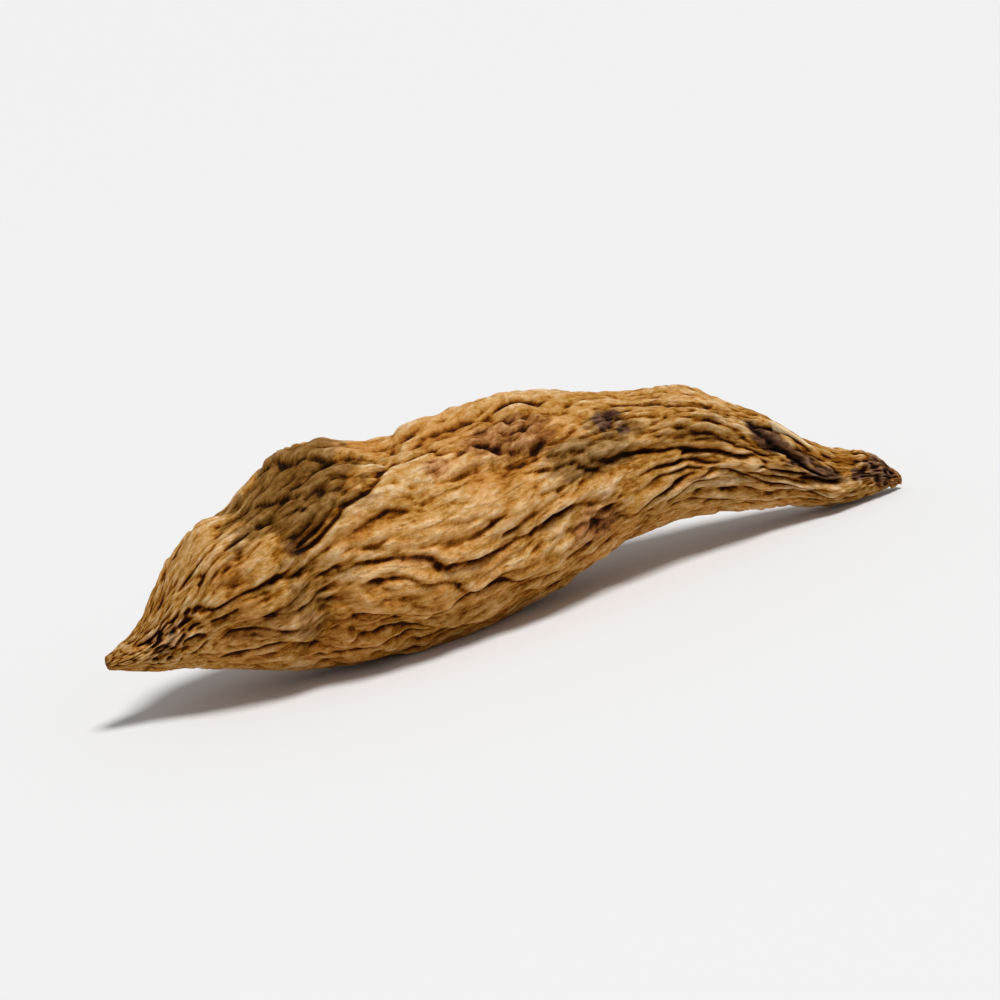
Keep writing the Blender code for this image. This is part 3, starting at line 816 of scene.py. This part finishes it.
def skin_grid():
    """The skin as a grid of points lying on the plane z = 0, with the fields that colour it."""
    t = np.linspace(0.0, 1.0, RINGS + 2)[1:-1]
    along = LENGTH * (t - RING_CROWDING * np.sin(2.0 * math.pi * t))
    angles = np.linspace(0.0, 2.0 * math.pi, SIDES, endpoint=False)
    x, theta = np.meshgrid(along, angles, indexing="ij")
    theta = theta + twist(x)
    centre, half_height, half_width, bend = station_curves(x)
    radius = np.sqrt(half_height * half_width)
    oval = half_height * half_width / np.hypot(half_height * np.cos(theta),
                                               half_width * np.sin(theta))
    flow = flow_points(x, theta, radius)
    ragged = sum(relief_noise(flow, edges) for edges in RAGGED_EDGES)
    stains = {name: stain(places, ragged, x, theta, radius) for name, places in STAINS.items()}
    height, crease_depth, lips = skin_height(flow, ragged, stains["worn"], x, theta, radius)
    stains["pale"] = np.maximum(stains["pale"], smooth_step(*LIP_PALENESS, lips))
    height *= away_from_flat(x, theta, radius)
    reach = np.maximum(oval + height, LEAST_REACH * oval)
    y = bend - reach * np.cos(theta)
    z = centre + reach * np.sin(theta) - math.tan(LEAN) * (x - BELLY_X) - FLOOR_HEIGHT
    points = np.stack([x, y, np.maximum(z, 0.0)], axis=-1)
    thinness = np.clip(radius / MID_RADIUS, RELIEF_THINNEST, 1.0) ** RELIEF_THIN_POWER
    fields = {
        # Relief against the surroundings, which the colour turns into painted highlights on ridges
        # and painted shade in valleys
        "fine_relief": (height - blurred(height, FINE_REACH)) / thinness,
        "near_relief": (height - blurred(height, NEAR_REACH)) / thinness,
        "wide_relief": height - blurred(height, WIDE_REACH),
        "crease": crease_depth,
        **stains,
    }
    return points, fields, flow


def skin_faces():
    """Corners of the skin's faces as point numbers, and their places on its flat map."""
    faces = []
    places = []
    blunt, tail = RINGS * SIDES, RINGS * SIDES + 1
    for i in range(-1, RINGS):
        low, high = (i + 1) / (RINGS + 1), (i + 2) / (RINGS + 1)
        for j in range(SIDES):
            k = (j + 1) % SIDES
            left, right = j / SIDES, (j + 1) / SIDES
            here, after = i * SIDES, (i + 1) * SIDES
            if i < 0:
                faces.append((blunt, after + j, after + k))
                places += [((left + right) / 2.0, low), (left, high), (right, high)]
            elif i == RINGS - 1:
                faces.append((tail, here + k, here + j))
                places += [((left + right) / 2.0, high), (right, low), (left, low)]
            else:
                faces.append((here + j, after + j, after + k, here + k))
                places += [(left, low), (left, high), (right, high), (right, low)]
    return faces, places


def with_tips(values):
    """The values of the grid as one list, with the means of the end rings for the two tips."""
    tips = np.array([values[0].mean(axis=0), values[-1].mean(axis=0)])
    return np.concatenate([values.reshape((RINGS * SIDES,) + values.shape[2:]), tips])


def skin_mesh(name):
    """The whole skin as one closed mesh that fits the box of the solid."""
    points, fields, flow = skin_grid()
    places = with_tips(points)
    places[-2:, 0] = (0.0, LENGTH)
    low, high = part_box("tuber")
    places[:, 0] -= LENGTH / 2.0
    places[:, 1] -= (points[..., 1].min() + points[..., 1].max()) / 2.0
    places = places * MM + np.array([(low.x + high.x) / 2.0, (low.y + high.y) / 2.0, low.z])
    faces, flat_places = skin_faces()
    mesh = bpy.data.meshes.new(name)
    mesh.from_pydata(places.tolist(), [], faces)
    flat_map = mesh.uv_layers.new(name="OFBake")
    flat_map.uv.foreach_set("vector", np.array(flat_places).ravel())
    for field, values in fields.items():
        attribute = mesh.attributes.new(field, "FLOAT", "POINT")
        attribute.data.foreach_set("value", with_tips(values))
    attribute = mesh.attributes.new("flow", "FLOAT_VECTOR", "POINT")
    attribute.data.foreach_set("vector", with_tips(flow).ravel())
    mesh.shade_smooth()
    mesh.update()
    return mesh


def colour(shade):
    """A colour as seen on a screen, from 0 to 255, as the linear values that shaders take."""
    seen = np.array(shade) / 255.0
    linear = np.where(seen <= 0.04045, seen / 12.92, ((seen + 0.055) / 1.055) ** 2.4)
    return (*linear.tolist(), 1.0)


class Nodes:
    """Writes the nodes of one material, a line for each."""

    def __init__(self, material):
        material.use_nodes = True
        self.tree = material.node_tree
        self.shader = self.tree.nodes["Principled BSDF"]

    def add(self, kind, inputs, output=0, **settings):
        """Add a node with these settings and inputs, and return one of its outputs."""
        made = self.tree.nodes.new("ShaderNode" + kind)
        for name, value in settings.items():
            setattr(made, name, value)
        for name, value in inputs.items():
            self.feed(made.inputs[name], value)
        return made.outputs[output]

    def feed(self, socket, value):
        """Link another node's output to a socket, or give it a plain value."""
        if isinstance(value, bpy.types.NodeSocket):
            self.tree.links.new(value, socket)
        else:
            socket.default_value = value

    def field(self, name):
        """A field that the mesh carries for each of its points."""
        return self.add("Attribute", {}, 2, attribute_name=name)

    def sum(self, first, second, scale=1.0):
        """first + second * scale."""
        return self.add("Math", {0: second, 1: scale, 2: first}, operation="MULTIPLY_ADD")

    def total(self, start, parts):
        """start + the sum of the parts, each multiplied by its weight."""
        for part, weight in parts:
            start = self.sum(start, part, weight)
        return start

    def rise(self, value, low, high, out_low=0.0, out_high=1.0):
        """Map a value from low..high to out_low..out_high, smoothly and clipped."""
        inputs = {0: value, 1: low, 2: high, 3: out_low, 4: out_high}
        return self.add("MapRange", inputs, interpolation_type="SMOOTHSTEP")

    def blend(self, amount, first, second):
        """Mix two colours."""
        return self.add("Mix", {0: amount, 6: first, 7: second}, 2, data_type="RGBA")

    def ramp(self, value, stops):
        """A colour read from stops of (place, colour as seen on a screen)."""
        made = self.add("ValToRGB", {0: value}).node
        elements = made.color_ramp.elements
        while len(elements) < len(stops):
            elements.new(0.5)
        for element, (place, shade) in zip(elements, stops):
            element.position = place
            element.color = colour(shade)
        return made.outputs[0]

    def grain(self, place, scale, along=1.0, detail=3.0, roughness=0.55):
        """Noise from 0 to 1 with this many cells a millimetre, and fewer along the folds."""
        stretch = (along, 1.0, 1.0)
        stretched = self.add("VectorMath", {0: place, 1: stretch}, operation="MULTIPLY")
        inputs = {"Vector": stretched, "Scale": scale, "Detail": detail, "Roughness": roughness}
        return self.add("TexNoise", inputs)

    def threads(self, place, scale, along, width):
        """0 on thin wandering lines and 1 between them."""
        noise_value = self.grain(place, scale, along, detail=1.0)
        off = self.add("Math", {0: self.sum(noise_value, -0.5)}, operation="ABSOLUTE")
        return self.rise(off, 0.0, width)

    def blot(self, name, mottle, most):
        """How strongly a stain shows, up to most, with ragged and mottled edges."""
        strength = self.sum(self.field(name), mottle, BLOT_MOTTLE)
        return self.rise(strength, *BLOT_RANGE, 0.0, most)


def skin_material():
    """Dried and roasted skin: ochre on the ridges, dark brown in the wrinkles, stained. Its relief
    paints highlights on the ridges and shade in the wrinkles and creases.
    """
    material = bpy.data.materials.new("root_skin")
    nodes = Nodes(material)
    place = nodes.add("Attribute", {}, 1, attribute_name="flow")
    drift = nodes.grain(place, scale=0.22)
    patch = nodes.grain(place, scale=0.75, along=0.6)
    streak = nodes.grain(place, scale=2.6, along=0.3, detail=4.0, roughness=0.6)
    speck = nodes.grain(place, scale=6.0, along=0.6, roughness=0.7)
    mottle = nodes.grain(place, scale=2.4, along=0.6, detail=4.0, roughness=0.65)
    thread = nodes.threads(place, scale=2.1, along=0.25, width=0.10)
    hair = nodes.threads(place, scale=4.2, along=0.28, width=0.14)

    fine, near = nodes.field("fine_relief"), nodes.field("near_relief")
    tone = nodes.total(BASE_TONE, [
        # Relief and crease depth: painted highlights on the ridges, painted shade in valleys and
        # creases
        (fine, 1.0),
        (nodes.rise(fine, *FINE_VALLEY_DARK_AND_SHADE), 0.15),
        (near, 0.6),
        (nodes.rise(near, *BROAD_VALLEY_DARK_AND_SHADE), 0.10),
        (nodes.field("wide_relief"), 0.30),
        (nodes.rise(nodes.field("crease"), *CREASE_DARK_AND_SHADE), -0.19),
        # Darker skin at the tips and spots, and painted shade on the lobe and the lower flank
        (nodes.field("dark"), -0.16),
        # Paler worn places, and painted highlights along ridges and crease lips
        (nodes.field("worn"), 0.18),
        (patch, 0.22),
        (streak, 0.90),
        (speck, 0.86),
        (thread, 0.08),
        (hair, 0.04),
    ])
    warmth = nodes.total(drift, [(patch, 0.6), (nodes.field("olive"), OLIVE_COOLING)])
    warm = nodes.rise(warmth, *WARM_RANGE, 0.0, WARM_COVER)
    skin = nodes.blend(warm, nodes.ramp(tone, OCHRE), nodes.ramp(tone, ORANGE))
    for name, most, stops in STAIN_COLOURS:
        skin = nodes.blend(nodes.blot(name, mottle, most), skin, nodes.ramp(tone, stops))
    # Pale marks and the torn lip, partly painted highlights
    skin = nodes.blend(nodes.blot("pale", mottle, PALE_AND_HIGHLIGHT_COVER), skin, colour(PALE_AND_HIGHLIGHT))

    lift = nodes.total(0.0, [(streak, 0.3), (speck, 0.5), (thread, 0.14), (hair, 0.05)])
    bump = nodes.add("Bump", {"Strength": 1.0, "Distance": BUMP_HEIGHT * MM, "Height": lift})
    shine = nodes.rise(tone, *ROUGHNESS_TONES, *ROUGHNESS)
    nodes.feed(nodes.shader.inputs["Base Color"], skin)
    nodes.feed(nodes.shader.inputs["Roughness"], shine)
    nodes.feed(nodes.shader.inputs["Normal"], bump)
    nodes.shader.inputs["Specular IOR Level"].default_value = GLOSS
    return material


def add_tuber():
    """The dressed tuber, in the place of its solid."""
    tuber = bpy.data.objects.new("tuber_skin", skin_mesh("tuber_skin"))
    tuber.data.materials.append(skin_material())
    bpy.context.collection.objects.link(tuber)
    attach(tuber, "root")
    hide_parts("tuber")


def add_floor():
    """A plain pale floor."""
    bpy.ops.mesh.primitive_plane_add(size=FLOOR_SIZE)
    floor = bpy.context.object
    floor.name = "floor"
    material = bpy.data.materials.new("floor")
    material.use_nodes = True
    shader = material.node_tree.nodes["Principled BSDF"]
    shader.inputs["Base Color"].default_value = (FLOOR_SHADE, FLOOR_SHADE, FLOOR_SHADE, 1.0)
    shader.inputs["Roughness"].default_value = FLOOR_ROUGHNESS
    shader.inputs["Specular IOR Level"].default_value = FLOOR_GLOSS
    floor.data.materials.append(material)


def add_lights(target):
    """Soft studio light: a pale surround and one broad lamp overhead."""
    world = bpy.data.worlds.new("studio")
    world.use_nodes = True
    background = world.node_tree.nodes["Background"]
    background.inputs["Color"].default_value = (1.0, 1.0, 1.0, 1.0)
    background.inputs["Strength"].default_value = SURROUND_STRENGTH
    bpy.context.scene.world = world
    lamp = bpy.data.lights.new("overhead", "SUN")
    lamp.energy = LAMP_STRENGTH
    lamp.angle = math.radians(LAMP_WIDTH)
    light = bpy.data.objects.new("overhead", lamp)
    bpy.context.collection.objects.link(light)
    light.location = target + Vector(LAMP_PLACE)
    light.rotation_euler = (target - light.location).to_track_quat("-Z", "Y").to_euler()


def add_camera(target):
    """Look along the photograph's line of sight, through a long lens."""
    azimuth, elevation = math.radians(CAMERA_AZIMUTH), math.radians(CAMERA_ELEVATION)
    lens_data = bpy.data.cameras.new("camera")
    lens_data.lens = CAMERA_LENS
    lens_data.clip_start = CAMERA_NEAREST
    camera = bpy.data.objects.new("camera", lens_data)
    bpy.context.collection.objects.link(camera)
    back = Vector((math.sin(azimuth) * math.cos(elevation),
                   -math.cos(azimuth) * math.cos(elevation),
                   math.sin(elevation)))
    camera.location = target + back * CAMERA_DISTANCE
    camera.rotation_mode = "QUATERNION"
    upright = (-back).to_track_quat("-Z", "Y")
    roll = Quaternion((0.0, 0.0, 1.0), math.radians(CAMERA_ROLL))
    camera.rotation_quaternion = upright @ roll
    bpy.context.scene.camera = camera


middle = (cad_box[0] + cad_box[1]) / 2.0
add_tuber()
add_floor()
add_lights(middle)
add_camera(middle)
bpy.context.scene.view_settings.view_transform = "Standard"
